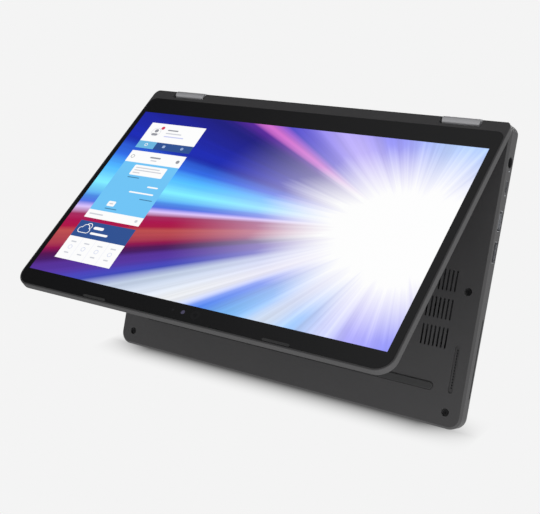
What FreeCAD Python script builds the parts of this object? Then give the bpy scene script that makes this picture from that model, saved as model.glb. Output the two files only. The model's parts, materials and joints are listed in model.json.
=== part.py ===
"""Convertible laptop computer with a 360 degree twin-axis hinge, standing as a tent.

Three local frames are used, all in millimetres with X along the width:
  base frame  origin on the base hinge axis, +Y to the front edge, +Z out of the keyboard side
  deck frame  the base frame turned by the wedge angle, so that the keyboard deck is level
  lid frame   origin on the lid hinge axis, +Y to the free edge, +Z out of the back cover
Each finished piece is placed in the row frame: +Z up, the ground at z = 0, the display leg
towards -Y and the keyboard leg towards +Y, with the origin at the middle of the footprint.
"""
import FreeCAD
import Part
import math
import os

from FreeCAD import Placement, Rotation, Vector

# ---- driving dimensions -------------------------------------------------------------------
SCREEN_W = 293.76            # active area of a 13.3 inch 16:9 panel
SCREEN_H = 165.24
SCREEN_X = -0.9              # middle of the active area
LID_W = 305.9
LID_T = 5.6
BASE_W = 303.6
BASE_T_REAR = 12.0
BASE_T_FRONT = 10.0
LEG = 203.25                 # hinge axis to the free edge, both halves
CLOSED_GAP = 0.9             # between the halves when closed or folded flat
TENT_ANGLE = 36.45           # between the display and the underside

LID_R = LID_T / 2            # radius of the lid's rounded hinge end
BASE_R = BASE_T_REAR / 2     # radius of the base's rounded hinge end
AXIS_GAP = LID_R + BASE_R + CLOSED_GAP
LEG_SLOPE = (180 - TENT_ANGLE) / 2
WEDGE = math.degrees(math.atan((BASE_T_REAR - BASE_T_FRONT) / LEG))

SHELL_T = 1.2                # wall of the lid, the bottom cover and the top case
SEAM_Z = -3.9                # where the bottom cover meets the top case
UNDERSIDE_BEVEL = 1.6        # flat bevel round the underside
LID_BACK_EDGE_R = 0.9
FREE_EDGE_R = 0.5            # round the glass side of the lid
FRONT_CORNER_R = 9.0
REAR_CORNER_R = 7.0
LID_CORNER_R = 12.0

HINGE_X = 117.0              # middle of each hinge cover
HINGE_COVER_L = 27.5
HINGE_NOTCH_L = 30.4
HINGE_COVER_T = 0.5
HINGE_END_T = 1.2
SHAFT_R = 1.2
RUNNING = 0.05               # radial clearance of shafts and pins
BASE_NOTCH_Y = 7.4
LID_NOTCH_Y = 5.3
HINGE_PROUD = 0.4            # how far the hinge covers stand out of the lid's faces
GLASS_TOP_Y = 7.85           # the glass starts below the hinge strip

GEAR_TEETH = 10
GEAR_PITCH_R = AXIS_GAP / 6
GEAR_T = 3.0
IDLER_PIN_R = 0.6

FOOT_PROUD = 0.65
BUMPER_T = 0.7               # soft strips on the glass, and how near the free edge they reach
BUMPER_EDGE = 1.6
SIDES = (-1, 1)


# ---- small helpers ------------------------------------------------------------------------
def box(x0, x1, y0, y1, z0, z1):
    return Part.makeBox(x1 - x0, y1 - y0, z1 - z0, Vector(x0, y0, z0))


def rod_x(x0, x1, y, z, r):
    return Part.makeCylinder(r, x1 - x0, Vector(x0, y, z), Vector(1, 0, 0))


def rod_z(x, y, z0, z1, r):
    return Part.makeCylinder(r, z1 - z0, Vector(x, y, z0), Vector(0, 0, 1))


def rounded_plan(x0, x1, y0, y1, z0, z1, rear_r, front_r):
    """A prism with rounded vertical corners: rear_r at y0 and front_r at y1."""
    slab = box(x0, x1, y0, y1, z0, z1)
    for radius, y in ((rear_r, y0), (front_r, y1)):
        if radius > 0:
            posts = [edge for edge in slab.Edges
                     if abs(edge.BoundBox.ZLength - (z1 - z0)) < 1e-6
                     and edge.BoundBox.XLength < 1e-6 and abs(edge.CenterOfMass.y - y) < 1e-6]
            slab = slab.makeFillet(radius, posts)
    return slab


def edges_at_z(shape, z, y_min):
    """Edges that lie flat at height z, apart from one that runs along y_min."""
    found = []
    for edge in shape.Edges:
        bounds = edge.BoundBox
        flat = bounds.ZLength < 1e-6 and abs(bounds.ZMin - z) < 1e-6
        if flat and not (bounds.YLength < 1e-6 and abs(bounds.YMin - y_min) < 1e-6):
            found.append(edge)
    return found


def slot_plan(x, y, length_x, length_y, z0, z1):
    """A slot with round ends, longer along whichever way is larger."""
    radius = min(length_x, length_y) / 2 - 0.01
    return rounded_plan(x - length_x / 2, x + length_x / 2, y - length_y / 2, y + length_y / 2,
                        z0, z1, radius, radius)


def hollow_box(outer, wall, open_side):
    """A thin box (x0, x1, y0, y1, z0, z1), open on the +X or -X side."""
    x0, x1, y0, y1, z0, z1 = outer
    inner_x0 = x0 - 1 if open_side < 0 else x0 + wall
    inner_x1 = x1 + 1 if open_side > 0 else x1 - wall
    inner = box(inner_x0, inner_x1, y0 + wall, y1 - wall, z0 + wall, z1 - wall)
    return box(*outer).cut(inner)


def mirrored(shape):
    return shape.mirror(Vector(0, 0, 0), Vector(1, 0, 0))


def both_sides(shape):
    return [shape, mirrored(shape)]


def fuse(shapes):
    return shapes[0].fuse(shapes[1:]).removeSplitter()


# ---- where everything stands --------------------------------------------------------------
def leg_low_point(along, across, edge_r, slope):
    """Lowest point of a leg's free edge below its hinge axis, and how far out it is."""
    down = (along - edge_r) * math.sin(slope) + (across - edge_r) * math.cos(slope) + edge_r
    out = (along - edge_r) * math.cos(slope) - (across - edge_r) * math.sin(slope)
    return down, out


def leg_far_point(along, across, edge_r, slope):
    """How far out the outer corner of a leg's free edge reaches."""
    return (along - edge_r) * math.cos(slope) + (across - edge_r) * math.sin(slope) + edge_r


SLOPE = math.radians(LEG_SLOPE)
LID_DOWN, LID_OUT = leg_low_point(LEG, LID_R, LID_BACK_EDGE_R, SLOPE)
BASE_DOWN, BASE_OUT = leg_low_point(LEG, BASE_R - UNDERSIDE_BEVEL, 0, SLOPE)
TILT = math.atan2(BASE_DOWN - LID_DOWN, LID_OUT + BASE_OUT + AXIS_GAP)
LID_SLOPE = SLOPE + TILT
BASE_SLOPE = SLOPE - TILT
LID_DOWN, LID_OUT = leg_low_point(LEG, LID_R, LID_BACK_EDGE_R, LID_SLOPE)
LID_FAR = leg_far_point(LEG - BUMPER_EDGE, LID_R + BUMPER_T, 0, LID_SLOPE)
BASE_FAR = leg_far_point(LEG, BASE_T_FRONT - BASE_R, 0, BASE_SLOPE)
AXIS_DY = AXIS_GAP * math.cos(TILT)
AXIS_DZ = AXIS_GAP * math.sin(TILT)

LID_AXIS = Vector(0, -(BASE_FAR + AXIS_DY - LID_FAR) / 2, LID_DOWN)
BASE_AXIS = LID_AXIS + Vector(0, AXIS_DY, AXIS_DZ)
PLACE_BASE = Placement(BASE_AXIS, Rotation(Vector(1, 0, 0), -math.degrees(BASE_SLOPE)))
PLACE_DECK = PLACE_BASE.multiply(Placement(Vector(), Rotation(Vector(1, 0, 0), -WEDGE)))
PLACE_LID = Placement(LID_AXIS, Rotation(Vector(1, 0, 0), 180 + math.degrees(LID_SLOPE)))
# the link's local frame has its origin on the lid axis and +Y to the base axis
PLACE_LINK = Placement(LID_AXIS, Rotation(Vector(1, 0, 0), math.degrees(TILT)))
DECK_IN_BASE = Placement(Vector(), Rotation(Vector(1, 0, 0), -WEDGE))


def placed(shape, placement):
    moved = shape.copy()
    moved.Placement = placement.multiply(moved.Placement)
    return moved


def save(name, shapes, placement):
    """Writes one node: every solid of the list, placed in the row frame."""
    solids = [solid for shape in shapes for solid in shape.Solids]
    parts = [placed(solid, placement) for solid in solids]
    result = parts[0] if len(parts) == 1 else Part.makeCompound(parts)
    assert result.isValid(), name
    result.exportStep("parts/" + name + ".step")


# ---- base: envelope and shells ------------------------------------------------------------
BASE_X = BASE_W / 2
DECK_Z = BASE_R
FLOOR_Z = -BASE_R + SHELL_T
SLAB_REAR = -20.0            # the slab is cut to the round rear end afterwards
FRONT_FOOT_Y = (174.5, 179.5)
REAR_FOOT_Y = (20.0, 25.0)
FOOT_X = 127.4
FOOT_RECESS = 0.5
SCREW_PLACES = [(sx * x, y) for sx in SIDES for x, y in ((139.7, 192.3), (141.0, 109.4))]
SCREW_PLACES += [(x, 11.0) for x in (-84.0, 0.0, 84.0)]
SCREW_HOLE_R = 2.75
SPEAKER_SLOT = (140.7, 162.5, 3.4, 33.0)
SPEAKER_SLOT_DEPTH = 0.9
VENT_X0, VENT_PITCH, VENT_W, VENT_COUNT = 113.3, 3.0, 1.3, 7
VENT_ROWS = ((96.6, 111.3), (116.4, 130.8), (136.0, 150.3))
NOTCH_X0 = HINGE_X - HINGE_NOTCH_L / 2
NOTCH_X1 = HINGE_X + HINGE_NOTCH_L / 2


def nose_profile(radius, length):
    """Side view of a half: a round end on the hinge axis, carried on as a straight slab."""
    rear = rod_x(-200, 200, 0, 0, radius)
    return rear.fuse(box(-200, 200, 0, length, -radius, radius))


def base_envelope(inset):
    """The base's outer form, shrunk by inset on every side."""
    x = BASE_X - inset
    front = LEG - inset
    bottom, top = -BASE_R + inset, DECK_Z - inset
    bevel = UNDERSIDE_BEVEL - inset * (2 - math.sqrt(2))
    slab = rounded_plan(-x, x, SLAB_REAR, front, bottom, top + 10, 0, FRONT_CORNER_R - inset)
    slab = slab.makeChamfer(bevel, edges_at_z(slab, bottom, SLAB_REAR))
    slab = slab.common(rounded_plan(-x, x, -BASE_R + inset, front + 20, bottom - 1, top + 20,
                                    REAR_CORNER_R - inset, 0))
    above_deck = placed(box(-200, 200, -60, 300, top, 40), DECK_IN_BASE)
    slab = slab.cut(above_deck)
    return slab.common(nose_profile(BASE_R - inset, 260))


def hinge_notches(y_max, half_height, grow):
    return [box(sx * HINGE_X - HINGE_NOTCH_L / 2 - grow, sx * HINGE_X + HINGE_NOTCH_L / 2 + grow,
                -30, y_max + grow, -half_height, half_height) for sx in SIDES]


def split_base():
    """The closed skin of the base as two shells that meet at the seam."""
    outer = base_envelope(0).cut(hinge_notches(BASE_NOTCH_Y, 20, 0))
    cavity = base_envelope(SHELL_T).cut(hinge_notches(BASE_NOTCH_Y, 20, SHELL_T))
    skin = outer.cut(cavity)
    below = box(-200, 200, -60, 260, -40, SEAM_Z)
    return skin.common(below), skin.cut(below)


def bottom_cover(shell):
    cuts = []
    for y0, y1 in VENT_ROWS:
        for i in range(VENT_COUNT):
            x = VENT_X0 + i * VENT_PITCH
            cuts.append(slot_plan(x, (y0 + y1) / 2, VENT_W, y1 - y0, -BASE_R - 1, -BASE_R + 3))
    for sx in SIDES:
        x, y, width, length = SPEAKER_SLOT
        cuts.append(slot_plan(sx * x, y, width, length, -BASE_R - 1,
                              -BASE_R + SPEAKER_SLOT_DEPTH))
        for i in range(14):
            grille_y = y - 13.0 + 2.0 * i
            cuts.append(rod_z(sx * x, grille_y, -BASE_R, -BASE_R + 3, 0.6))
    for y0, y1 in (FRONT_FOOT_Y, REAR_FOOT_Y):
        cuts.append(slot_plan(0, (y0 + y1) / 2, 2 * FOOT_X + 1.2, y1 - y0 + 1.2,
                              -BASE_R - 1, -BASE_R + FOOT_RECESS))
    bosses = [rod_z(x, y, -BASE_R + 0.4, SEAM_Z - 0.1, SCREW_HOLE_R + 1.0) for x, y in SCREW_PLACES]
    x, y, width, length = SPEAKER_SLOT
    bosses += [slot_plan(sx * x, y, width + 2, length + 2, -BASE_R + 0.4, FLOOR_Z + 0.4) for sx in SIDES]
    cuts += [rod_z(x, y, -BASE_R - 1, -BASE_R + 1.9, SCREW_HOLE_R) for x, y in SCREW_PLACES]
    cuts += [rod_z(x, y, -BASE_R - 1, 0, 1.1) for x, y in SCREW_PLACES]
    scoop = box(-43, 43, -3, 3, -3, 3)
    scoop.rotate(Vector(0, 0, 0), Vector(1, 0, 0), 45)
    scoop.translate(Vector(0, LEG + 1.35, -BASE_R - 1.35))
    cuts.append(scoop)
    return fuse([shell] + bosses).cut(cuts)


# ports on the +X side wall: name, distance from the hinge axis, cut-out along Y and Z
PORT_Z = 1.2
DC_JACK_Y, DC_JACK_R, DC_JACK_Z = 19.6, 3.8, 0.6
USB_C_Y, USB_C_SIZE = 35.8, (9.0, 3.3)
USB_A_Y, USB_A_SIZE = 59.2, (14.4, 5.7)
DISPLAY_PORT_Y, DISPLAY_PORT_SIZE = 80.4, (15.0, 5.4)
SMART_CARD_Y, SMART_CARD_SIZE, SMART_CARD_Z = 153.8, (54.6, 1.4), 2.1
LIGHT_PLACES = (25.4, 41.7)
# ports and buttons on the -X side wall
LOCK_Y, LOCK_SIZE = 24.0, (7.0, 3.0)
USB_A2_Y = 46.0
CARD_Y, CARD_SIZE = 70.0, (12.4, 1.5)
AUDIO_Y, AUDIO_R, AUDIO_BORE_R, AUDIO_DEPTH = 88.0, 2.7, 1.8, 11.0
VOLUME_Y, VOLUME_SIZE = 124.0, (18.0, 2.6)
POWER_Y, POWER_SIZE = 146.0, (11.0, 2.6)
BUTTON_GAP = 0.3
PIVOT_R, PIVOT_DEPTH = 0.45, 2.6

WELL_X, WELL_Y0, WELL_Y1 = 136.6, 29.4, 134.0
WELL_RIM = 2.0
TOUCHPAD_X, TOUCHPAD_Y0, TOUCHPAD_Y1 = 49.5, 142.0, 194.0
TOUCHPAD_GAP = 0.4


def through_wall(side, y, size, z, corner, x0, x1):
    """A bar with rounded corners that runs along X, for holes and sockets in a side wall."""
    length, height = size
    corner = min(corner, height / 2 - 0.05)
    bar = rounded_plan(-length / 2, length / 2, -height / 2, height / 2, x0, x1, corner, corner)
    bar.rotate(Vector(0, 0, 0), Vector(1, 0, 0), 90)
    bar.rotate(Vector(0, 0, 0), Vector(0, 0, 1), 90)
    bar.translate(Vector(0, y, z))
    return bar if side > 0 else mirrored(bar)


def wall_cut(side, y, size, z, corner):
    return through_wall(side, y, size, z, corner, BASE_X - 3, BASE_X + 3)


def top_case(shell):
    cuts = [rod_x(BASE_X - 3, BASE_X + 3, DC_JACK_Y, DC_JACK_Z, DC_JACK_R),
            wall_cut(1, USB_C_Y, USB_C_SIZE, PORT_Z, 1.5),
            wall_cut(1, USB_A_Y, USB_A_SIZE, PORT_Z, 0.5),
            wall_cut(1, DISPLAY_PORT_Y, DISPLAY_PORT_SIZE, PORT_Z, 0.8),
            wall_cut(1, SMART_CARD_Y, SMART_CARD_SIZE, SMART_CARD_Z, 0.5),
            wall_cut(-1, LOCK_Y, LOCK_SIZE, PORT_Z, 1.0),
            wall_cut(-1, USB_A2_Y, USB_A_SIZE, PORT_Z, 0.5),
            wall_cut(-1, CARD_Y, CARD_SIZE, PORT_Z, 0.5),
            rod_x(-BASE_X - 3, -BASE_X + 3, AUDIO_Y, PORT_Z, AUDIO_R)]
    cuts += [rod_x(BASE_X - 3, BASE_X + 3, y, PORT_Z + 0.4, 0.6) for y in LIGHT_PLACES]
    for y, (length, height) in ((VOLUME_Y, VOLUME_SIZE), (POWER_Y, POWER_SIZE)):
        opening = (length + 2 * BUTTON_GAP, height + 2 * BUTTON_GAP)
        cuts.append(wall_cut(-1, y, opening, PORT_Z, 1.2))
    well = rounded_plan(-WELL_X, WELL_X, WELL_Y0, WELL_Y1, DECK_Z - 3, DECK_Z + 3, 1.5, 1.5)
    pad = rounded_plan(-TOUCHPAD_X - TOUCHPAD_GAP, TOUCHPAD_X + TOUCHPAD_GAP,
                       TOUCHPAD_Y0 - TOUCHPAD_GAP, TOUCHPAD_Y1 + TOUCHPAD_GAP,
                       DECK_Z - 3, DECK_Z + 3, 3.0, 3.0)
    cuts += [placed(well, DECK_IN_BASE), placed(pad, DECK_IN_BASE)]
    for i in range(12):
        x = 45.0 + 3.6 * i
        cuts.append(box(x, x + 1.8, -10, 0, -2.2, 2.2))
    for sx in SIDES:
        cuts.append(rod_x(sx * HINGE_X - 20, sx * HINGE_X + 20, 0, 0, SHAFT_R + 0.5))
    bosses = []
    for x, y in SCREW_PLACES:
        if abs(x) > 100:
            wall_x = math.copysign(BASE_X - 1, x)
            bosses.append(rod_z(x, y, SEAM_Z, 0.4, 2.6))
            bosses.append(box(min(x, wall_x), max(x, wall_x), y - 1.2, y + 1.2, SEAM_Z, 0.4))
        else:
            bosses.append(rod_z(x, y, SEAM_Z, DECK_Z - 0.6, 2.6))
        cuts.append(rod_z(x, y, SEAM_Z - 1, 0.0, 0.95))
    return fuse([shell] + bosses).cut(cuts)


# ---- base: keyboard and touchpad (deck frame) ---------------------------------------------
KEY_PITCH = 18.2
KEY_GAP = 2.4
KEY_TOP = DECK_Z + 0.1
KEY_T = 1.5
KEY_TAPER = 0.5
FUNCTION_ROW_Y, FUNCTION_ROW_H = 31.0, 8.6
FIRST_ROW_Y = 41.6
ROW_UNITS = {
    "numbers": [1] * 13 + [2],
    "upper": [1.5] + [1] * 12 + [1.5],
    "home": [1.75] + [1] * 11 + [2.25],
    "lower": [2.25] + [1] * 10 + [2.75],
    "bottom": [1.25, 1, 1, 1.25, 5.5, 1, 1, 1, 1, 1],
}
KEY_GROUPS = {"numbers": "number_keys", "upper": "letter_keys", "home": "letter_keys",
              "lower": "letter_keys", "bottom": "bottom_row_keys"}
WIDE_KEYS = {("numbers", 13): "backspace_key", ("upper", 0): "tab_key", ("home", 12): "enter_key",
             ("lower", 0): "left_shift_key", ("lower", 11): "right_shift_key",
             ("bottom", 4): "space_bar"}


def tapered(x0, x1, y0, y1, z0, z1, t):
    """A block whose four sides lean in by t towards the top."""
    low = Part.makePolygon([Vector(x0, y0, z0), Vector(x1, y0, z0), Vector(x1, y1, z0),
                            Vector(x0, y1, z0), Vector(x0, y0, z0)])
    high = Part.makePolygon([Vector(x0 + t, y0 + t, z1), Vector(x1 - t, y0 + t, z1),
                             Vector(x1 - t, y1 - t, z1), Vector(x0 + t, y1 - t, z1),
                             Vector(x0 + t, y0 + t, z1)])
    return Part.makeLoft([low, high], True, True)


def key_rows():
    """Every keycap, by node: wide keys on their own and the others by row."""
    nodes = {}
    z0 = KEY_TOP - KEY_T
    function_keys = []
    for i in range(15):
        x0 = (i - 7.5) * KEY_PITCH + KEY_GAP / 2
        function_keys.append(tapered(x0, x0 + KEY_PITCH - KEY_GAP, FUNCTION_ROW_Y,
                                     FUNCTION_ROW_Y + FUNCTION_ROW_H, z0, KEY_TOP, KEY_TAPER))
    nodes["function_keys"] = function_keys
    for row, (name, units) in enumerate(ROW_UNITS.items()):
        y0 = FIRST_ROW_Y + row * KEY_PITCH + KEY_GAP / 2
        y1 = y0 + KEY_PITCH - KEY_GAP
        start = -7.5
        plain = []
        for i, width in enumerate(units):
            x0 = -(start + width) * KEY_PITCH + KEY_GAP / 2
            x1 = -start * KEY_PITCH - KEY_GAP / 2
            cap = tapered(x0, x1, y0, y1, z0, KEY_TOP, KEY_TAPER)
            if (name, i) in WIDE_KEYS:
                nodes[WIDE_KEYS[(name, i)]] = [cap]
            else:
                plain.append(cap)
            start += width
        nodes.setdefault(KEY_GROUPS[name], []).extend(plain)
    return nodes


def keyboard_plate():
    """The metal plate under the keys, with a rim that is held under the deck."""
    x, y0, y1 = WELL_X + WELL_RIM, WELL_Y0 - WELL_RIM, WELL_Y1 + WELL_RIM
    plate = box(-x, x, y0, y1, DECK_Z - 3.3, DECK_Z - 2.8)
    rim = box(-x, x, y0, y1, DECK_Z - 2.8, DECK_Z - SHELL_T - 0.1)
    rim = rim.cut(box(-WELL_X, WELL_X, WELL_Y0, WELL_Y1, DECK_Z - 5, DECK_Z))
    reader = box(BASE_X - 65, BASE_X, SMART_CARD_Y - 30, SMART_CARD_Y + 30, DECK_Z - 5, DECK_Z)
    return fuse([plate, rim]).cut(reader)


def touchpad():
    """The touch plate, with a short pivot rod under each end of its rear edge."""
    plate = rounded_plan(-TOUCHPAD_X, TOUCHPAD_X, TOUCHPAD_Y0, TOUCHPAD_Y1,
                         DECK_Z - 1.3, DECK_Z - 0.15, 2.6, 2.6)
    pivot = rod_x(38.0, 45.0, TOUCHPAD_Y0 + 0.6, DECK_Z - 1.5, 0.5)
    return fuse([plate] + both_sides(pivot))


def touchpad_frame():
    """A tray under the touchpad that its rear edge pivots on."""
    tray = box(-TOUCHPAD_X - 4, TOUCHPAD_X + 4, TOUCHPAD_Y0 - 4, TOUCHPAD_Y1 + 4,
               DECK_Z - 3.0, DECK_Z - 2.3)
    rim = box(-TOUCHPAD_X - 4, TOUCHPAD_X + 4, TOUCHPAD_Y0 - 4, TOUCHPAD_Y1 + 4,
              DECK_Z - 2.3, DECK_Z - SHELL_T - 0.1)
    rim = rim.cut(box(-TOUCHPAD_X - 1, TOUCHPAD_X + 1, TOUCHPAD_Y0 - 1, TOUCHPAD_Y1 + 1,
                      DECK_Z - 4, DECK_Z))
    return fuse([tray, rim])


# ---- base: ports, buttons and feet --------------------------------------------------------
PORT_DEPTH = 12.0


def socket(side, y, size, corner, wall, depth, tongue):
    """A metal receptacle behind a side wall, with an insulating tongue inside."""
    length, height = size
    mouth = BASE_X - 0.25
    outer_size = (length - 0.2, height - 0.2)
    inner_size = (outer_size[0] - 2 * wall, outer_size[1] - 2 * wall)
    outer = through_wall(side, y, outer_size, PORT_Z, corner - 0.1, mouth - depth, mouth)
    inner = through_wall(side, y, inner_size, PORT_Z, corner - 0.1 - wall / 2,
                         mouth - depth + wall, mouth + 1)
    tongue_l, tongue_t, tongue_z = tongue
    blade = box(mouth - depth + wall / 2, mouth - 1.2, y - tongue_l / 2, y + tongue_l / 2,
                PORT_Z + tongue_z - tongue_t / 2, PORT_Z + tongue_z + tongue_t / 2)
    return fuse([outer.cut(inner), blade if side > 0 else mirrored(blade)])


def dc_jack():
    x1 = BASE_X - 0.3
    sleeve = rod_x(x1 - PORT_DEPTH, x1, DC_JACK_Y, DC_JACK_Z, DC_JACK_R - 0.1)
    bore = rod_x(x1 - PORT_DEPTH + 1.5, x1 + 1, DC_JACK_Y, DC_JACK_Z, DC_JACK_R - 0.5)
    pin = rod_x(x1 - PORT_DEPTH + 1, x1 - 3.5, DC_JACK_Y, DC_JACK_Z, 0.5)
    return fuse([sleeve.cut(bore), pin])


def audio_jack():
    x0 = -BASE_X + 0.2
    sleeve = rod_x(x0, x0 + AUDIO_DEPTH + 1.2, AUDIO_Y, PORT_Z, AUDIO_R - 0.1)
    return sleeve.cut(rod_x(x0 - 1, x0 + AUDIO_DEPTH, AUDIO_Y, PORT_Z, AUDIO_BORE_R))


def smart_card_reader():
    length, _ = SMART_CARD_SIZE
    outer = (BASE_X - 64, BASE_X - SHELL_T, SMART_CARD_Y - length / 2 - 1, SMART_CARD_Y + length / 2 + 1,
             SMART_CARD_Z - 0.8, SMART_CARD_Z + 0.8)
    return hollow_box(outer, 0.3, 1)


def card_reader():
    length, _ = CARD_SIZE
    outer = (-BASE_X + SHELL_T, -BASE_X + 13, CARD_Y - length / 2 - 0.5, CARD_Y + length / 2 + 0.5,
             PORT_Z - 1.0, PORT_Z + 1.0)
    return hollow_box(outer, 0.3, -1)


def lock_plate():
    """A steel plate with the slot that a security cable's head turns in."""
    x0 = -BASE_X + SHELL_T
    plate = box(x0, x0 + 1.0, LOCK_Y - 6, LOCK_Y + 6, PORT_Z - 3, PORT_Z + 3)
    return plate.cut(wall_cut(-1, LOCK_Y, LOCK_SIZE, PORT_Z, 1.0))


def side_button(y, size, pivots):
    """A side button: a rounded cap with a flange inside the wall; a rocker also has a pivot pin."""
    length, height = size
    cap = rounded_plan(-length / 2, length / 2, -height / 2, height / 2, -2.3, 0.35, 1.0, 1.0)
    flange = box(-length / 2 - 1, length / 2 + 1, -height / 2 - 0.5, height / 2 + 0.5, -2.9, -2.3)
    button = fuse([cap, flange])
    if pivots:
        pin = Part.makeCylinder(PIVOT_R, height + 1.8, Vector(0, -height / 2 - 0.9, -PIVOT_DEPTH),
                                Vector(0, 1, 0))
        button = fuse([button, pin])
    button.rotate(Vector(0, 0, 0), Vector(1, 0, 0), 90)
    button.rotate(Vector(0, 0, 0), Vector(0, 0, 1), -90)
    button.translate(Vector(-BASE_X, y, PORT_Z))
    return button


def rubber_foot(y_range):
    y0, y1 = y_range
    foot = slot_plan(0, (y0 + y1) / 2, 2 * FOOT_X, y1 - y0,
                     -BASE_R - FOOT_PROUD, -BASE_R + FOOT_RECESS)
    low = [edge for edge in foot.Edges if edge.BoundBox.ZMax < -BASE_R - FOOT_PROUD + 1e-6]
    return foot.makeFillet(0.5, low)


def bottom_screw(x, y):
    """A countersunk screw deep in its hole, with a cross recess."""
    head_z = -BASE_R + 1.9
    head = rod_z(x, y, head_z - 0.9, head_z, 1.9)
    shank = rod_z(x, y, head_z - 0.1, -0.2, 0.95)
    cross = [box(x - 1.1, x + 1.1, y - 0.25, y + 0.25, head_z - 1.5, head_z - 0.4),
             box(x - 0.25, x + 0.25, y - 1.1, y + 1.1, head_z - 1.5, head_z - 0.4)]
    return fuse([head, shank]).cut(cross)


# ---- base: what it holds inside -----------------------------------------------------------
FAN_X, FAN_Y, FAN_SIDE = 112.0, 119.0, 42.0
FAN_Z0, FAN_Z1 = FLOOR_Z + 0.2, 0.4
ROTOR_R = 17.0
HUB_R = 6.5
FAN_BLADES = 23
BOARD_Z0, BOARD_Z1 = -1.4, -0.4
FIN_X0, FIN_X1 = 44.0, 90.0
FIN_Y0, FIN_Y1 = 15.2, 25.0


def fan_housing():
    half = FAN_SIDE / 2
    outlet = [Vector(FAN_X - half, FAN_Y - half + 4, FAN_Z0), Vector(FIN_X0, 25, FAN_Z0),
              Vector(FIN_X1, 25, FAN_Z0), Vector(FAN_X + half, FAN_Y - half + 4, FAN_Z0)]
    duct = Part.Face(Part.makePolygon(outlet + outlet[:1])).extrude(Vector(0, 0, FAN_Z1 - FAN_Z0))
    inner = [Vector(FAN_X - half + 2, FAN_Y - half + 6, FAN_Z0 + 0.6),
             Vector(FIN_X0 + 1, 24, FAN_Z0 + 0.6), Vector(FIN_X1 - 1, 24, FAN_Z0 + 0.6),
             Vector(FAN_X + half - 2, FAN_Y - half + 6, FAN_Z0 + 0.6)]
    inner_height = Vector(0, 0, FAN_Z1 - FAN_Z0 - 1.2)
    duct_space = Part.Face(Part.makePolygon(inner + inner[:1])).extrude(inner_height)
    case = rounded_plan(FAN_X - half, FAN_X + half, FAN_Y - half, FAN_Y + half, FAN_Z0, FAN_Z1, 0, 8.0)
    space = rod_z(FAN_X, FAN_Y, FAN_Z0 + 0.6, FAN_Z1 - 0.6, half - 1.0)
    inlet = rod_z(FAN_X, FAN_Y, FAN_Z0 - 1, FAN_Z0 + 1, 14.0)
    spokes = [box(FAN_X - 14.5, FAN_X + 14.5, FAN_Y - 1, FAN_Y + 1, FAN_Z0, FAN_Z0 + 0.6)]
    spindle = rod_z(FAN_X, FAN_Y, FAN_Z0, FAN_Z1 - 0.6, 1.0)
    shell = fuse([duct, case]).cut([duct_space, space]).cut(inlet)
    return fuse([shell] + spokes + [spindle])


def fan_rotor():
    z0, z1 = FAN_Z0 + 0.9, FAN_Z1 - 0.9
    hub = rod_z(FAN_X, FAN_Y, z0, z1, HUB_R)
    blades = []
    for i in range(FAN_BLADES):
        blade = box(HUB_R - 0.5, ROTOR_R, -0.3, 0.3, z0 + 0.2, z1 - 0.2)
        blade.rotate(Vector(HUB_R, 0, 0), Vector(0, 0, 1), 25)
        blade.rotate(Vector(0, 0, 0), Vector(0, 0, 1), 360 / FAN_BLADES * i)
        blade.translate(Vector(FAN_X, FAN_Y, 0))
        blades.append(blade)
    rotor = hub.fuse(blades)
    return rotor.cut(rod_z(FAN_X, FAN_Y, z0 - 1, z1 + 1, 1.0 + RUNNING))


def heat_sink_fins():
    plate = box(FIN_X0, FIN_X1, FIN_Y0, FIN_Y1, FAN_Z1 - 0.6, FAN_Z1)
    fins = [box(FIN_X0 + 1.5 * i, FIN_X0 + 1.5 * i + 0.3, FIN_Y0, FIN_Y1, FAN_Z0, FAN_Z1 - 0.5)
            for i in range(31)]
    return fuse([plate] + fins)


def heat_pipe():
    """A flattened pipe from the processor's cold plate to the fins."""
    cold_plate = box(-32, 8, 44, 80, 0.95, 1.5)
    pipe = fuse([box(-16, -8, 17, 70, 0.95, 1.5), box(-16, FIN_X1, 17, 24, FAN_Z1, 1.5)])
    return fuse([cold_plate, pipe])


def mainboard():
    board = box(-134, 44, 27, 98, BOARD_Z0, BOARD_Z1)
    chips = [box(-30, 6, 46, 78, BOARD_Z1, 0.95), box(-70, -50, 40, 54, BOARD_Z1, 0.5),
             box(-70, -50, 62, 76, BOARD_Z1, 0.5), box(14, 34, 36, 46, BOARD_Z1, 0.8)]
    return fuse([board] + chips)


def battery():
    """Three flat cells side by side in a frame."""
    cells = [box(x, x + 66, 106, 192, FLOOR_Z + 0.2, -0.9) for x in (-128, -60, 8)]
    tabs = [box(x, x + 2, 120, 178, FLOOR_Z + 0.2, -1.6) for x in (-62, 6)]
    return fuse(cells + tabs)


def speaker(side):
    x0, x1 = sorted((side * 133.6, side * 147.0))
    case = rounded_plan(x0, x1, 144.0, 181.0, FLOOR_Z + 0.6, 0.0, 1.5, 1.5)
    x, y, width, length = SPEAKER_SLOT
    return case.cut(slot_plan(side * x, y, width + 1, length - 4, FLOOR_Z, FLOOR_Z + 1.8))


def fold_arm(x0, x1, plate_y1, plate_z0, plate_z1, knuckle_r, low, high):
    """A hinge bracket: a knuckle on the shaft, an arm and a screwed plate."""
    knuckle = rod_x(x1 - 5, x1, 0, 0, knuckle_r)
    arm = box(x1 - 5, x1, 0, plate_y1, low, high)
    plate = box(x0, x1, plate_y1 - 11.5, plate_y1, plate_z0, plate_z1)
    bracket = fuse([knuckle, arm, plate])
    return bracket.cut(rod_x(x1 - 6, x1 + 1, 0, 0, SHAFT_R + 0.01))


BRACKET_X = (92.0, 138.6)
BRACKET_SCREW_X = (97.0, 112.0, 127.0)


def base_bracket():
    return fold_arm(BRACKET_X[0], BRACKET_X[1], 24.0, 2.6, 3.8, 2.6, 0.4, 3.8)


def base_bracket_screws():
    screws = []
    for x in BRACKET_SCREW_X:
        head = rod_z(x, 17.0, 1.6, 2.6, 1.6)
        screws.append(head)
    return screws


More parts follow.
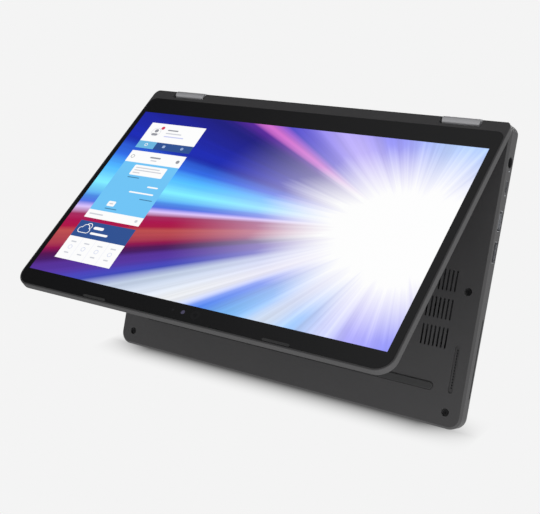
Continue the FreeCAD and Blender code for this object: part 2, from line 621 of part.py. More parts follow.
# ---- hinge link ---------------------------------------------------------------------------
COVER_LID_R = LID_R + HINGE_PROUD
COVER_BASE_R = BASE_R - 0.3


def egg(x0, x1, lid_r, base_r):
    """A prism round both hinge axes: a small end on the lid axis, a large one on the base axis."""
    lean = math.asin((base_r - lid_r) / AXIS_GAP)
    normal = (-math.sin(lean), math.cos(lean))
    lid_top = Vector(x0, normal[0] * lid_r, normal[1] * lid_r)
    lid_low = Vector(x0, normal[0] * lid_r, -normal[1] * lid_r)
    base_top = Vector(x0, AXIS_GAP + normal[0] * base_r, normal[1] * base_r)
    base_low = Vector(x0, AXIS_GAP + normal[0] * base_r, -normal[1] * base_r)
    wire = Part.Wire([
        Part.Arc(lid_low, Vector(x0, -lid_r, 0), lid_top).toShape(),
        Part.LineSegment(lid_top, base_top).toShape(),
        Part.Arc(base_top, Vector(x0, AXIS_GAP + base_r, 0), base_low).toShape(),
        Part.LineSegment(base_low, lid_low).toShape()])
    return Part.Face(wire).extrude(Vector(x1 - x0, 0, 0))


COVER_X0 = HINGE_X - HINGE_COVER_L / 2
COVER_X1 = HINGE_X + HINGE_COVER_L / 2
GEAR_X0 = COVER_X0 + HINGE_END_T + 0.4
GEAR_X1 = GEAR_X0 + GEAR_T
GEAR_PLATE_X = (GEAR_X1 + 0.4, GEAR_X1 + 1.4)
GEAR_Y = [0.0, AXIS_GAP / 3, 2 * AXIS_GAP / 3, AXIS_GAP]


def shaft_holes(x0, x1):
    """Running bores for both shafts and both idler pins."""
    holes = [rod_x(x0, x1, y, 0, SHAFT_R + RUNNING) for y in (GEAR_Y[0], GEAR_Y[3])]
    return holes + [rod_x(x0, x1, y, 0, IDLER_PIN_R + RUNNING) for y in GEAR_Y[1:3]]


def hinge_cover():
    """The silver cover: a closed egg-shaped tube that carries both shafts in its end walls."""
    t = HINGE_COVER_T
    outer = egg(COVER_X0, COVER_X1, COVER_LID_R, COVER_BASE_R)
    inner = egg(COVER_X0 + HINGE_END_T, COVER_X1 - HINGE_END_T, COVER_LID_R - t, COVER_BASE_R - t)
    shell = outer.cut(inner)
    ends = [rod_x(COVER_X0 - 1, COVER_X1 + 1, y, 0, SHAFT_R + RUNNING) for y in (0, AXIS_GAP)]
    pins = [rod_x(COVER_X0 + 0.3, COVER_X0 + 3, y, 0, IDLER_PIN_R + RUNNING) for y in GEAR_Y[1:3]]
    return shell.cut(ends + pins)


def gear_plate():
    t = HINGE_COVER_T
    plate = egg(GEAR_PLATE_X[0], GEAR_PLATE_X[1], COVER_LID_R - t, COVER_BASE_R - t)
    return plate.cut(shaft_holes(GEAR_PLATE_X[0] - 1, GEAR_PLATE_X[1] + 1))


def torque_clips():
    """Clips that grip both shafts and give the hinge its friction."""
    t = HINGE_COVER_T
    clips = []
    for i in range(5):
        x0 = GEAR_PLATE_X[1] + 1.4 + 3.2 * i
        clip = egg(x0, x0 + 2.2, COVER_LID_R - t, COVER_BASE_R - t)
        clips.append(clip.cut(shaft_holes(x0 - 1, x0 + 3.2)[:2]))
    return clips


def gear(y, phase, bore_r, pin_r):
    """A small spur gear about the line at y, with straight-sided teeth and some backlash."""
    module = 2 * GEAR_PITCH_R / GEAR_TEETH
    root_r = GEAR_PITCH_R - 1.15 * module
    tip_r = GEAR_PITCH_R + 0.75 * module
    root_half = 0.72 * module
    tip_half = 0.28 * module
    blank = rod_x(GEAR_X0, GEAR_X1, 0, 0, root_r)
    teeth = []
    for i in range(GEAR_TEETH):
        outline = [Vector(GEAR_X0, root_r - 0.1, -root_half), Vector(GEAR_X0, tip_r, -tip_half),
                   Vector(GEAR_X0, tip_r, tip_half), Vector(GEAR_X0, root_r - 0.1, root_half)]
        tooth = Part.Face(Part.makePolygon(outline + outline[:1])).extrude(Vector(GEAR_T, 0, 0))
        tooth.rotate(Vector(0, 0, 0), Vector(1, 0, 0), phase + 360 / GEAR_TEETH * i)
        teeth.append(tooth)
    wheel = blank.fuse(teeth)
    if pin_r:
        wheel = wheel.fuse(rod_x(COVER_X0 + 0.4, GEAR_PLATE_X[1], 0, 0, pin_r))
    if bore_r:
        wheel = wheel.cut(rod_x(GEAR_X0 - 1, GEAR_X1 + 1, 0, 0, bore_r))
    wheel.translate(Vector(0, y, 0))
    return wheel


def hinge_shaft(y):
    return rod_x(COVER_X0 + 0.2, BRACKET_X[1], y, 0, SHAFT_R)


# ---- lid ----------------------------------------------------------------------------------
LID_X = LID_W / 2
GLASS_T = 0.7
GLASS_GAP = 0.15
GLASS_END_Y = LEG - SHELL_T
LID_HINGE_CORNER_R = 7.0
TUNNEL_X = LID_X - 8
GLASS_HINGE_CORNER_R = 6.5
SCREEN_Y0 = 24.05
CAMERA_Y = 195.2
CAMERA_X, CAMERA_LIGHT_X, SENSOR_X = 9.6, -0.6, -8.9
MIC_X = (24.9, 30.1)
BUMPER_X = (65.0, 85.0)
STRIP_SPLIT_Z = -0.4


def lid_envelope():
    slab = rounded_plan(-LID_X, LID_X, -LID_R, LEG, -LID_R, LID_R, LID_HINGE_CORNER_R, LID_CORNER_R)
    nose = nose_profile(LID_R, 260)
    slab = slab.makeFillet(LID_BACK_EDGE_R, edges_at_z(slab, LID_R, -LID_R))
    slab = slab.makeFillet(FREE_EDGE_R, edges_at_z(slab, -LID_R, -LID_R))
    return slab.common(nose)


def lid_shells():
    """The back cover with its rim round the glass, and the strip across the hinge end."""
    body = lid_envelope().cut(hinge_notches(LID_NOTCH_Y, 20, 0))
    tray = rounded_plan(-LID_X + SHELL_T, LID_X - SHELL_T, GLASS_TOP_Y, GLASS_END_Y,
                        -LID_R - 1, LID_R - SHELL_T, GLASS_HINGE_CORNER_R, LID_CORNER_R - SHELL_T)
    tunnel_r = LID_R - 0.7
    tunnel = rod_x(-TUNNEL_X, TUNNEL_X, 0, 0, tunnel_r)
    tunnel = tunnel.fuse(box(-TUNNEL_X, TUNNEL_X, 0, GLASS_TOP_Y + 1, -tunnel_r, LID_R - SHELL_T))
    walls = hinge_notches(LID_NOTCH_Y, 20, 1.0)
    body = body.cut([tray, tunnel.cut(walls)])
    shafts = [rod_x(sx * HINGE_X - 20, sx * HINGE_X + 20, 0, 0, SHAFT_R + 0.4) for sx in SIDES]
    body = body.cut(shafts)
    front = box(-LID_X - 5, LID_X + 5, -20, GLASS_TOP_Y, -20, STRIP_SPLIT_Z)
    return body.cut(front), body.common(front)


def cover_glass():
    glass = rounded_plan(-LID_X + SHELL_T + GLASS_GAP, LID_X - SHELL_T - GLASS_GAP,
                         GLASS_TOP_Y + GLASS_GAP, GLASS_END_Y - GLASS_GAP, -LID_R, -LID_R + GLASS_T,
                         GLASS_HINGE_CORNER_R - GLASS_GAP, LID_CORNER_R - SHELL_T - GLASS_GAP)
    holes = [rod_z(sx * x, GLASS_END_Y, -LID_R - 1, 0, 0.7) for sx in SIDES for x in MIC_X]
    return glass.cut(holes)


def lid_bumpers():
    """Soft strips at the glass's free edge that rest on the deck when closed."""
    x0, x1 = BUMPER_X
    strip = slot_plan((x0 + x1) / 2, LEG - BUMPER_EDGE - 0.8, x1 - x0, 1.6, -LID_R - BUMPER_T, -LID_R)
    return both_sides(strip)


PANEL_Z0, PANEL_Z1 = -LID_R + GLASS_T, -0.2


def lcd_panel():
    return box(SCREEN_X - SCREEN_W / 2 - 2.0, SCREEN_X + SCREEN_W / 2 + 2.0,
               SCREEN_Y0 - 3.0, SCREEN_Y0 + SCREEN_H + 2.0, PANEL_Z0, PANEL_Z1)


def panel_driver_board():
    board = box(-86, 86, 10.5, 19.5, PANEL_Z0, -1.5)
    chips = [box(x - 6, x + 6, 12.5, 17.5, -1.5, -0.9) for x in (-55, -15, 25, 60)]
    return fuse([board] + chips)


def webcam_module():
    """The camera board with its lens, light sensor and two microphones."""
    board = box(-33, 33, 193.0, 201.6, -1.6, -0.9)
    microphones = [box(sx * 27.5 - 4, sx * 27.5 + 4, 199.0, 201.6, PANEL_Z0, -1.6) for sx in SIDES]
    lens = rod_z(CAMERA_X, CAMERA_Y + 0.2, PANEL_Z0, -1.6, 2.4)
    sensor = box(SENSOR_X - 1, SENSOR_X + 1, CAMERA_Y - 1, CAMERA_Y + 1, PANEL_Z0, -1.6)
    return fuse([board, lens, sensor] + microphones)


def camera_light():
    return box(CAMERA_LIGHT_X - 0.9, CAMERA_LIGHT_X + 0.9, CAMERA_Y - 0.9, CAMERA_Y + 0.9, PANEL_Z0, -1.6)


def antennas():
    return [box(sx * 95 - 28, sx * 95 + 28, 193.5, 200.5, 0.2, 0.8) for sx in SIDES]


def display_cable():
    """The flat cable from the hinge to the panel's driver board."""
    return box(40, 52, 2.0, 12.0, -1.5, -1.2)


def lid_bracket():
    return fold_arm(BRACKET_X[0], BRACKET_X[1], 20.8, 0.5, 1.5, 1.9, -0.7, 1.5)


def lid_bracket_screws():
    return [rod_z(x, 14.0, -0.4, 0.5, 1.5) for x in BRACKET_SCREW_X]


# ---- build --------------------------------------------------------------------------------
def build_base():
    cover, case = split_base()
    save("bottom_cover", [bottom_cover(cover)], PLACE_BASE)
    save("top_case", [top_case(case)], PLACE_BASE)
    for name, caps in key_rows().items():
        save(name, caps, PLACE_DECK)
    save("keyboard_plate", [keyboard_plate()], PLACE_DECK)
    save("touchpad", [touchpad()], PLACE_DECK)
    save("touchpad_frame", [touchpad_frame()], PLACE_DECK)
    save("dc_in_jack", [dc_jack()], PLACE_BASE)
    save("usb_c_port", [socket(1, USB_C_Y, USB_C_SIZE, 1.5, 0.3, 9.0, (6.6, 0.7, 0.0))], PLACE_BASE)
    usb_a_tongue = (11.1, 1.9, 1.0)
    save("usb_a_ports", [socket(1, USB_A_Y, USB_A_SIZE, 0.5, 0.4, 12.4, usb_a_tongue),
                         socket(-1, USB_A2_Y, USB_A_SIZE, 0.5, 0.4, 12.4, usb_a_tongue)], PLACE_BASE)
    display_out = socket(1, DISPLAY_PORT_Y, DISPLAY_PORT_SIZE, 0.8, 0.4, 12.0, (11.5, 1.1, 0.3))
    save("display_out_port", [display_out], PLACE_BASE)
    save("smart_card_reader", [smart_card_reader()], PLACE_BASE)
    save("memory_card_reader", [card_reader()], PLACE_BASE)
    save("audio_jack", [audio_jack()], PLACE_BASE)
    save("lock_plate", [lock_plate()], PLACE_BASE)
    lights = [rod_x(BASE_X - 2.0, BASE_X - 0.1, y, PORT_Z + 0.4, 0.55) for y in LIGHT_PLACES]
    save("status_lights", lights, PLACE_BASE)
    save("volume_rocker", [side_button(VOLUME_Y, VOLUME_SIZE, True)], PLACE_BASE)
    save("power_button", [side_button(POWER_Y, POWER_SIZE, False)], PLACE_BASE)
    save("rubber_feet", [rubber_foot(FRONT_FOOT_Y), rubber_foot(REAR_FOOT_Y)], PLACE_BASE)
    save("fan_housing", [fan_housing()], PLACE_BASE)
    save("fan_rotor", [fan_rotor()], PLACE_BASE)
    save("heat_sink_fins", [heat_sink_fins()], PLACE_BASE)
    save("heat_pipe", [heat_pipe()], PLACE_BASE)
    save("mainboard", [mainboard()], PLACE_BASE)
    save("solid_state_drive", [box(-126, -46, 82, 96, BOARD_Z1 + 0.2, 1.6)], PLACE_BASE)
    save("wireless_card", [box(10, 32, 60, 90, BOARD_Z1 + 0.2, 1.2)], PLACE_BASE)
    save("battery", [battery()], PLACE_BASE)
    save("speakers", [speaker(side) for side in SIDES], PLACE_BASE)
    save("base_hinge_brackets", both_sides(base_bracket()), PLACE_BASE)
    screws = base_bracket_screws()
    screws += [mirrored(screw) for screw in screws]
    screws += [bottom_screw(x, y) for x, y in SCREW_PLACES]
    save("base_screws", screws, PLACE_BASE)


def build_hinge():
    """The gears are drawn in the link frame, in mesh at this opening angle."""
    half = 180 / GEAR_TEETH
    save("hinge_cover_left", [hinge_cover()], PLACE_LINK)
    save("hinge_cover_right", [mirrored(hinge_cover())], PLACE_LINK)
    save("hinge_gear_plates", both_sides(gear_plate()), PLACE_LINK)
    clips = torque_clips()
    save("hinge_torque_clips", clips + [mirrored(clip) for clip in clips], PLACE_LINK)
    save("lid_hinge_gears", both_sides(gear(GEAR_Y[0], 0, SHAFT_R, 0)), PLACE_LINK)
    save("idler_gears_lid_side", both_sides(gear(GEAR_Y[1], half, 0, IDLER_PIN_R)), PLACE_LINK)
    save("idler_gears_base_side", both_sides(gear(GEAR_Y[2], 0, 0, IDLER_PIN_R)), PLACE_LINK)
    save("base_hinge_gears", both_sides(gear(GEAR_Y[3], half, SHAFT_R, 0)), PLACE_LINK)
    save("lid_hinge_shafts", both_sides(hinge_shaft(GEAR_Y[0])), PLACE_LINK)
    save("base_hinge_shafts", both_sides(hinge_shaft(GEAR_Y[3])), PLACE_LINK)


def build_lid():
    back, strip = lid_shells()
    save("lid_back_cover", [back], PLACE_LID)
    save("hinge_strip", [strip], PLACE_LID)
    save("cover_glass", [cover_glass()], PLACE_LID)
    save("lid_bumpers", lid_bumpers(), PLACE_LID)
    save("lcd_panel", [lcd_panel()], PLACE_LID)
    save("panel_driver_board", [panel_driver_board()], PLACE_LID)
    save("webcam_module", [webcam_module()], PLACE_LID)
    save("camera_light", [camera_light()], PLACE_LID)
    save("antennas", antennas(), PLACE_LID)
    save("display_cable", [display_cable()], PLACE_LID)
    save("lid_hinge_brackets", both_sides(lid_bracket()), PLACE_LID)
    screws = lid_bracket_screws()
    save("lid_bracket_screws", screws + [mirrored(screw) for screw in screws], PLACE_LID)


os.makedirs("parts", exist_ok=True)
build_base()
build_hinge()
build_lid()
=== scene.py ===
"""Looks for the convertible laptop computer: materials, lit screen, stage, lights and camera."""

import json
import math

import bpy
from mathutils import Euler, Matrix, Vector

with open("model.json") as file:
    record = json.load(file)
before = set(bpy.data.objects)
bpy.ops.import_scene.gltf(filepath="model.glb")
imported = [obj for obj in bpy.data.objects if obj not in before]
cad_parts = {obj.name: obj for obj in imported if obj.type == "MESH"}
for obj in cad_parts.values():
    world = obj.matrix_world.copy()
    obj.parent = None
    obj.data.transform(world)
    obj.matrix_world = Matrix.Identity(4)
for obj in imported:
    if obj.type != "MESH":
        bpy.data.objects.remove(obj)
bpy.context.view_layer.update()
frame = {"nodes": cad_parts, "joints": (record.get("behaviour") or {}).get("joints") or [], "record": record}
NODES = frame["nodes"]
JOINTS = {joint["name"]: joint for joint in frame["joints"]}

# ---- where the lid lies in the row frame --------------------------------------------------
LID_SLOPE = math.radians(72.0983)
LID_AXIS = Vector(JOINTS["hinge_link_to_lid"]["pos_m"])
LID_ALONG = Vector((0, -math.cos(LID_SLOPE), -math.sin(LID_SLOPE)))
SCREEN_W, SCREEN_H = 0.29376, 0.16524
SCREEN_X = -0.0009
SCREEN_START = 0.02405
CAMERA_ROW = 171.4           # mm from the picture's hinge side to the camera and its light
BORDER = (0.006, 0.006, 0.007)
PICTURE_GLOW = 0.97
WHITE_LEVEL = 0.905          # what the camera sees behind the object


# ---- shader building ----------------------------------------------------------------------
class Graph:
    """A node tree of a material or world, with a short method for each kind of node in use."""

    def __init__(self, owner):
        self.owner = owner
        owner.use_nodes = True
        self.tree = owner.node_tree
        self.tree.nodes.clear()

    def node(self, kind, **settings):
        made = self.tree.nodes.new(kind)
        for key, value in settings.items():
            setattr(made, key, value)
        return made

    def put(self, socket, value):
        if isinstance(value, bpy.types.NodeSocket):
            self.tree.links.new(value, socket)
        else:
            socket.default_value = value

    def math(self, operation, *values, clamp=False):
        made = self.node("ShaderNodeMath", operation=operation, use_clamp=clamp)
        for socket, value in zip(made.inputs, values):
            self.put(socket, value)
        return made.outputs[0]

    def vector(self, operation, *values):
        made = self.node("ShaderNodeVectorMath", operation=operation)
        for socket, value in zip(made.inputs, values):
            self.put(socket, value)
        return made.outputs["Value" if operation in ("DOT_PRODUCT", "LENGTH") else "Vector"]

    def combine(self, x, y, z):
        made = self.node("ShaderNodeCombineXYZ")
        for socket, value in zip(made.inputs, (x, y, z)):
            self.put(socket, value)
        return made.outputs[0]

    def mix(self, factor, a, b):
        made = self.node("ShaderNodeMix", data_type="RGBA")
        self.put(made.inputs[0], factor)
        self.put(made.inputs[6], a)
        self.put(made.inputs[7], b)
        return made.outputs[2]

    def noise(self, vector, scale, detail=2.0, roughness=0.5):
        made = self.node("ShaderNodeTexNoise", noise_dimensions="3D")
        self.put(made.inputs["Vector"], vector)
        made.inputs["Scale"].default_value = scale
        made.inputs["Detail"].default_value = detail
        made.inputs["Roughness"].default_value = roughness
        return made.outputs["Fac"]

    def ramp(self, factor, stops):
        made = self.node("ShaderNodeValToRGB")
        band = made.color_ramp
        band.interpolation = "EASE"
        while len(band.elements) < len(stops):
            band.elements.new(0.5)
        for element, (position, color) in zip(band.elements, stops):
            element.position = position
            element.color = (*color, 1)
        self.put(made.inputs[0], factor)
        return made.outputs[0]

    def bump(self, height, distance):
        made = self.node("ShaderNodeBump")
        made.inputs["Strength"].default_value = 1.0
        made.inputs["Distance"].default_value = distance
        self.put(made.inputs["Height"], height)
        return made.outputs[0]

    def place(self):
        return self.node("ShaderNodeTexCoord").outputs["Object"]

    def principled(self, **inputs):
        made = self.node("ShaderNodeBsdfPrincipled")
        for key, value in inputs.items():
            self.put(made.inputs[key.replace("_", " ")], value)
        return made.outputs[0]

    def finish(self, shader, output="ShaderNodeOutputMaterial"):
        self.tree.links.new(shader, self.node(output).inputs["Surface"])
        return self.owner


def material_graph(name):
    """A new material and its node tree."""
    return Graph(bpy.data.materials.new(name))


def solid(color, level=1.0):
    """A colour with full alpha, scaled by level and kept at 1 or below."""
    return tuple(min(1, c * level) for c in color) + (1,)


def srgb(*levels):
    """Linear colour of three display levels from 0 to 255."""
    return tuple(((c / 255 + 0.055) / 1.055) ** 2.4 if c > 10 else c / 255 / 12.92
                 for c in levels)


GRAIN_SCALE = 5200
CLOUD_SCALE = 45
TONE_SPREAD = 0.06           # up and down
ROUGHNESS_SPREAD = 0.06      # from lowest to highest


def grained(name, color, roughness, grain=0.00008, specular=0.5):
    """A moulded or painted surface with a fine grain and a slightly uneven tone."""
    g = material_graph(name)
    at = g.place()
    fine = g.noise(at, GRAIN_SCALE, 3.0, 0.6)
    cloud = g.noise(at, CLOUD_SCALE)
    tone = g.mix(cloud, solid(color, 1 - TONE_SPREAD), solid(color, 1 + TONE_SPREAD))
    rough = g.math("MULTIPLY_ADD", cloud, ROUGHNESS_SPREAD, roughness - ROUGHNESS_SPREAD / 2)
    shader = g.principled(Base_Color=tone, Roughness=rough, Metallic=0.0,
                          Specular_IOR_Level=specular, Normal=g.bump(fine, grain))
    return g.finish(shader)


LINE_STRETCH = (1, 60, 60)
LINE_SCALE = 120
LINE_DEPTH = 0.00002


def brushed(name, color, roughness, metallic=1.0):
    """Metal with fine lines that run along X."""
    g = material_graph(name)
    lines = g.noise(g.vector("MULTIPLY", g.place(), LINE_STRETCH), LINE_SCALE, 3.0, 0.65)
    tone = g.mix(lines, solid(color, 0.9), solid(color, 1.08))
    rough = g.math("MULTIPLY_ADD", lines, 0.12, roughness)
    shader = g.principled(Base_Color=tone, Metallic=metallic, Roughness=rough,
                          Normal=g.bump(lines, LINE_DEPTH))
    return g.finish(shader)


# ---- the picture on the screen ------------------------------------------------------------
WHITE = srgb(255, 255, 255)
CARD_BLUE = srgb(44, 80, 146)
CHAT_BLUE = srgb(112, 198, 248)
TAB_BLUE = srgb(110, 185, 226)
INK = srgb(150, 152, 160)
PALE_INK = srgb(205, 208, 216)
RED = srgb(214, 60, 92)

BURST_AT = (0.1200, 0.0775)
BURST_STOPS = [
    (0.000, srgb(252, 254, 255)), (0.100, srgb(215, 228, 255)), (0.140, srgb(150, 160, 250)),
    (0.200, srgb(110, 120, 245)), (0.250, srgb(150, 150, 250)), (0.285, srgb(205, 215, 255)),
    (0.320, srgb(140, 200, 255)), (0.345, srgb(220, 238, 255)), (0.375, srgb(110, 185, 250)),
    (0.396, srgb(70, 130, 240)), (0.408, srgb(250, 252, 255)), (0.430, srgb(215, 230, 255)),
    (0.438, srgb(60, 70, 190)), (0.447, srgb(95, 55, 175)), (0.455, srgb(66, 8, 86)),
    (0.463, srgb(150, 5, 70)), (0.467, srgb(205, 95, 85)), (0.472, srgb(178, 8, 68)),
    (0.480, srgb(165, 0, 80)), (0.484, srgb(222, 195, 248)), (0.489, srgb(60, 110, 235)),
    (0.500, srgb(125, 230, 255)), (0.512, srgb(80, 185, 255)), (0.520, srgb(45, 105, 230)),
    (0.530, srgb(15, 35, 170)), (0.560, srgb(20, 20, 138)), (0.570, srgb(90, 35, 160)),
    (0.577, srgb(222, 115, 212)), (0.586, srgb(88, 80, 218)), (0.625, srgb(180, 165, 250)),
    (0.670, srgb(115, 118, 240)), (0.760, srgb(165, 205, 255)),
]
HAZE = srgb(226, 218, 255)
GLOW_FLATTEN, GLOW_SHIFT = 1.4, -0.006         # wider than tall, a little towards the free edge
HAZE_START, HAZE_WIDTH, HAZE_MOST = 0.058, 0.120, 0.72
CORE_REACH, CORE_SPIKES, CORE_WIDTH = 0.053, 0.06, 0.056


def fade_out(g, distance, start, width):
    """1 up to start, then down to 0 over width."""
    return g.math("SUBTRACT", 1.0, g.math("DIVIDE", g.math("SUBTRACT", distance, start), width),
                  clamp=True)


def burst(g, u, v):
    """Bands of light that run out from a white glow, by angle round it."""
    du = g.math("SUBTRACT", u, BURST_AT[0])
    dv = g.math("SUBTRACT", v, BURST_AT[1])
    radius = g.vector("LENGTH", g.combine(du, dv, 0))
    turn = g.math("ARCTAN2", dv, g.math("MULTIPLY", du, -1))
    share = g.math("MULTIPLY_ADD", turn, -0.5 / math.pi, 0.5)
    ray = g.combine(g.math("MULTIPLY", share, 60), g.math("MULTIPLY", radius, 1.2), 3.7)
    wide = g.noise(ray, 1.0, 1.0)
    narrow = g.noise(g.vector("MULTIPLY", ray, (3.4, 2.0, 1.0)), 1.0, 2.0, 0.6)
    streak = g.math("ADD", g.math("MULTIPLY", wide, 0.6), g.math("MULTIPLY", narrow, 0.4))
    shifted = g.math("MULTIPLY_ADD", g.math("SUBTRACT", wide, 0.5), 0.010, share)
    color = g.ramp(shifted, BURST_STOPS)
    light = g.math("MULTIPLY_ADD", g.math("SUBTRACT", streak, 0.5), 1.2, 1.0)
    color = g.vector("MULTIPLY", color, g.combine(light, light, light))
    flat_dv = g.math("MULTIPLY_ADD", dv, GLOW_FLATTEN, GLOW_SHIFT)
    spread = g.vector("LENGTH", g.combine(du, flat_dv, 0))
    haze = g.math("POWER", fade_out(g, spread, HAZE_START, HAZE_WIDTH), 1.6)
    haze = g.math("MULTIPLY", haze, HAZE_MOST)
    reach = g.math("MULTIPLY_ADD", g.math("SUBTRACT", streak, 0.5), CORE_SPIKES, CORE_REACH)
    core = g.math("POWER", fade_out(g, spread, reach, CORE_WIDTH), 1.2)
    return g.mix(core, g.mix(haze, color, (*HAZE, 1)), (*WHITE, 1))


class Picture:
    """Flat shapes laid over the screen's background, in millimetres from its top middle."""

    def __init__(self, g, point, color):
        self.g, self.point, self.color = g, point, color

    def block(self, u0, u1, v0, v1, color, corner=0.0):
        g = self.g
        middle = ((u0 + u1) / 2000, (v0 + v1) / 2000, 0)
        half = ((u1 - u0) / 2000 - corner / 1000, (v1 - v0) / 2000 - corner / 1000, 1)
        offset = g.vector("ABSOLUTE", g.vector("SUBTRACT", self.point, middle))
        outside = g.vector("MAXIMUM", g.vector("SUBTRACT", offset, half), (0, 0, 0))
        beyond = g.vector("LENGTH", outside)
        inside = g.math("LESS_THAN", beyond, corner / 1000 + 1e-6)
        self.color = g.mix(inside, self.color, (*color, 1))

    def disc(self, u, v, radius, color):
        self.block(u - radius, u + radius, v - radius, v + radius, color, radius)

    def bar(self, u0, u1, v, color, height=1.1):
        self.block(u0, u1, v - height / 2, v + height / 2, color, height / 2.05)

    def ring(self, u, v, radius, color, inner, width=0.5):
        self.disc(u, v, radius, color)
        self.disc(u, v, radius - width, inner)


def draw_cards(p):
    """Three plain cards in a column: a profile, a chat and a forecast, with bars for writing."""
    left, right = -132.2, -78.6
    p.block(left, right, 10.7, 30.6, WHITE)
    p.ring(-122.7, 20.2, 4.4, PALE_INK, WHITE, 0.4)
    p.disc(-122.7, 18.9, 1.8, INK)
    p.block(-125.6, -119.8, 21.6, 23.9, INK, 1.1)
    p.disc(-118.4, 15.4, 1.7, RED)
    p.bar(-112.6, -102.2, 17.0, INK, 1.3)
    p.bar(-112.6, -97.2, 20.4, PALE_INK)
    p.bar(-112.6, -93.2, 23.8, srgb(200, 205, 245))
    p.block(left, -114.4, 30.6, 38.2, TAB_BLUE)
    p.block(-114.4, right, 30.6, 38.2, CARD_BLUE)
    p.ring(-123.4, 34.3, 1.5, WHITE, TAB_BLUE)
    p.block(-107.0, -104.4, 33.0, 35.6, srgb(170, 190, 225), 0.6)
    p.disc(-87.9, 34.3, 1.4, srgb(150, 172, 212))
    p.block(left, right, 41.4, 53.3, WHITE)
    p.ring(-128.0, 47.5, 1.8, INK, WHITE)
    p.bar(-111.0, -100.6, 46.6, INK, 1.5)
    p.bar(-108.8, -102.8, 49.6, PALE_INK)
    p.disc(-83.5, 47.6, 1.7, INK)
    p.block(left, right, 53.3, 103.8, CHAT_BLUE)
    p.block(-119.6, -87.9, 55.4, 65.8, WHITE, 1.0)
    for width, v in ((23.5, 58.0), (26.5, 60.6), (7.0, 63.2)):
        p.bar(-117.6, -117.6 + width, v, PALE_INK, 1.0)
    p.bar(-119.2, -107.6, 68.2, srgb(70, 130, 170), 0.9)
    p.bar(-94.8, -84.6, 75.2, WHITE, 1.4)
    p.bar(-108.0, -84.6, 82.0, WHITE, 1.4)
    p.bar(-94.2, -82.0, 87.6, srgb(70, 130, 170), 0.9)
    p.block(-119.6, -112.4, 93.4, 98.4, WHITE, 1.0)
    p.bar(-118.0, -114.2, 95.9, PALE_INK)
    p.bar(-119.2, -107.6, 100.8, srgb(70, 130, 170), 0.9)
    p.block(left, right, 103.8, 111.8, WHITE)
    p.bar(-129.6, -116.0, 107.7, PALE_INK, 1.2)
    p.disc(-83.6, 107.7, 1.3, PALE_INK)
    p.block(left, right, 115.0, 130.4, CARD_BLUE)
    p.disc(-121.0, 119.6, 3.0, WHITE)
    p.disc(-121.0, 119.6, 2.4, CARD_BLUE)
    for u, v, radius in ((-126.6, 123.6, 2.8), (-123.2, 121.6, 3.6), (-120.4, 123.8, 2.6)):
        p.disc(u, v, radius, WHITE)
    p.block(-127.0, -120.0, 123.4, 126.4, WHITE, 1.4)
    for u, v, radius in ((-126.6, 123.6, 2.2), (-123.2, 121.6, 3.0), (-120.4, 123.8, 2.0)):
        p.disc(u, v, radius, CARD_BLUE)
    p.block(-126.6, -120.4, 123.6, 125.8, CARD_BLUE, 1.0)
    p.bar(-116.0, -106.2, 120.2, WHITE, 2.6)
    p.bar(-116.0, -99.0, 125.4, WHITE, 2.0)
    p.block(left, right, 130.4, 151.5, WHITE)
    for i in range(4):
        u = -124.9 + 12.9 * i
        p.bar(u - 2.6, u + 2.6, 135.2, PALE_INK)
        p.ring(u, 140.3, 1.9, srgb(196, 206, 236), WHITE, 0.4)
        p.bar(u - 2.2, u + 2.2, 145.6, PALE_INK)
        if i:
            p.block(u - 6.6, u - 6.3, 130.4, 151.5, srgb(232, 234, 250))


# Camera window, its lens, the camera light and the light sensor, across the border.
BORDER_DISCS = [(10.5, 3.4, srgb(26, 26, 28)), (10.5, 1.5, srgb(12, 12, 16)),
                (0.35, 1.5, srgb(96, 92, 122)), (-8.1, 1.0, srgb(34, 34, 38))]


def screen_material():
    """Black anti-glare glass with the lit picture in its active area."""
    g = material_graph("screen_glass")
    at = g.place()
    from_axis = g.vector("SUBTRACT", at, tuple(LID_AXIS))
    along = g.vector("DOT_PRODUCT", from_axis, tuple(LID_ALONG))
    split = g.node("ShaderNodeSeparateXYZ")
    g.put(split.inputs[0], at)
    u = g.math("SUBTRACT", split.outputs[0], SCREEN_X)
    v = g.math("SUBTRACT", along, SCREEN_START)
    point = g.combine(u, v, 0)
    picture = Picture(g, point, burst(g, u, v))
    draw_cards(picture)
    inside_u = g.math("LESS_THAN", g.math("ABSOLUTE", u), SCREEN_W / 2)
    from_middle = g.math("ABSOLUTE", g.math("SUBTRACT", v, SCREEN_H / 2))
    inside_v = g.math("LESS_THAN", from_middle, SCREEN_H / 2)
    lit = g.math("MULTIPLY", inside_u, inside_v)
    grain = g.noise(at, 9000, 2.0)
    border = Picture(g, point, (*BORDER, 1))
    for x, radius, color in BORDER_DISCS:
        border.disc(x, CAMERA_ROW, radius, color)
    shader = g.principled(Base_Color=border.color, Roughness=0.34, Specular_IOR_Level=0.45,
                          Emission_Color=picture.color,
                          Emission_Strength=g.math("MULTIPLY", lit, PICTURE_GLOW),
                          Normal=g.bump(grain, 0.000012))
    return g.finish(shader)


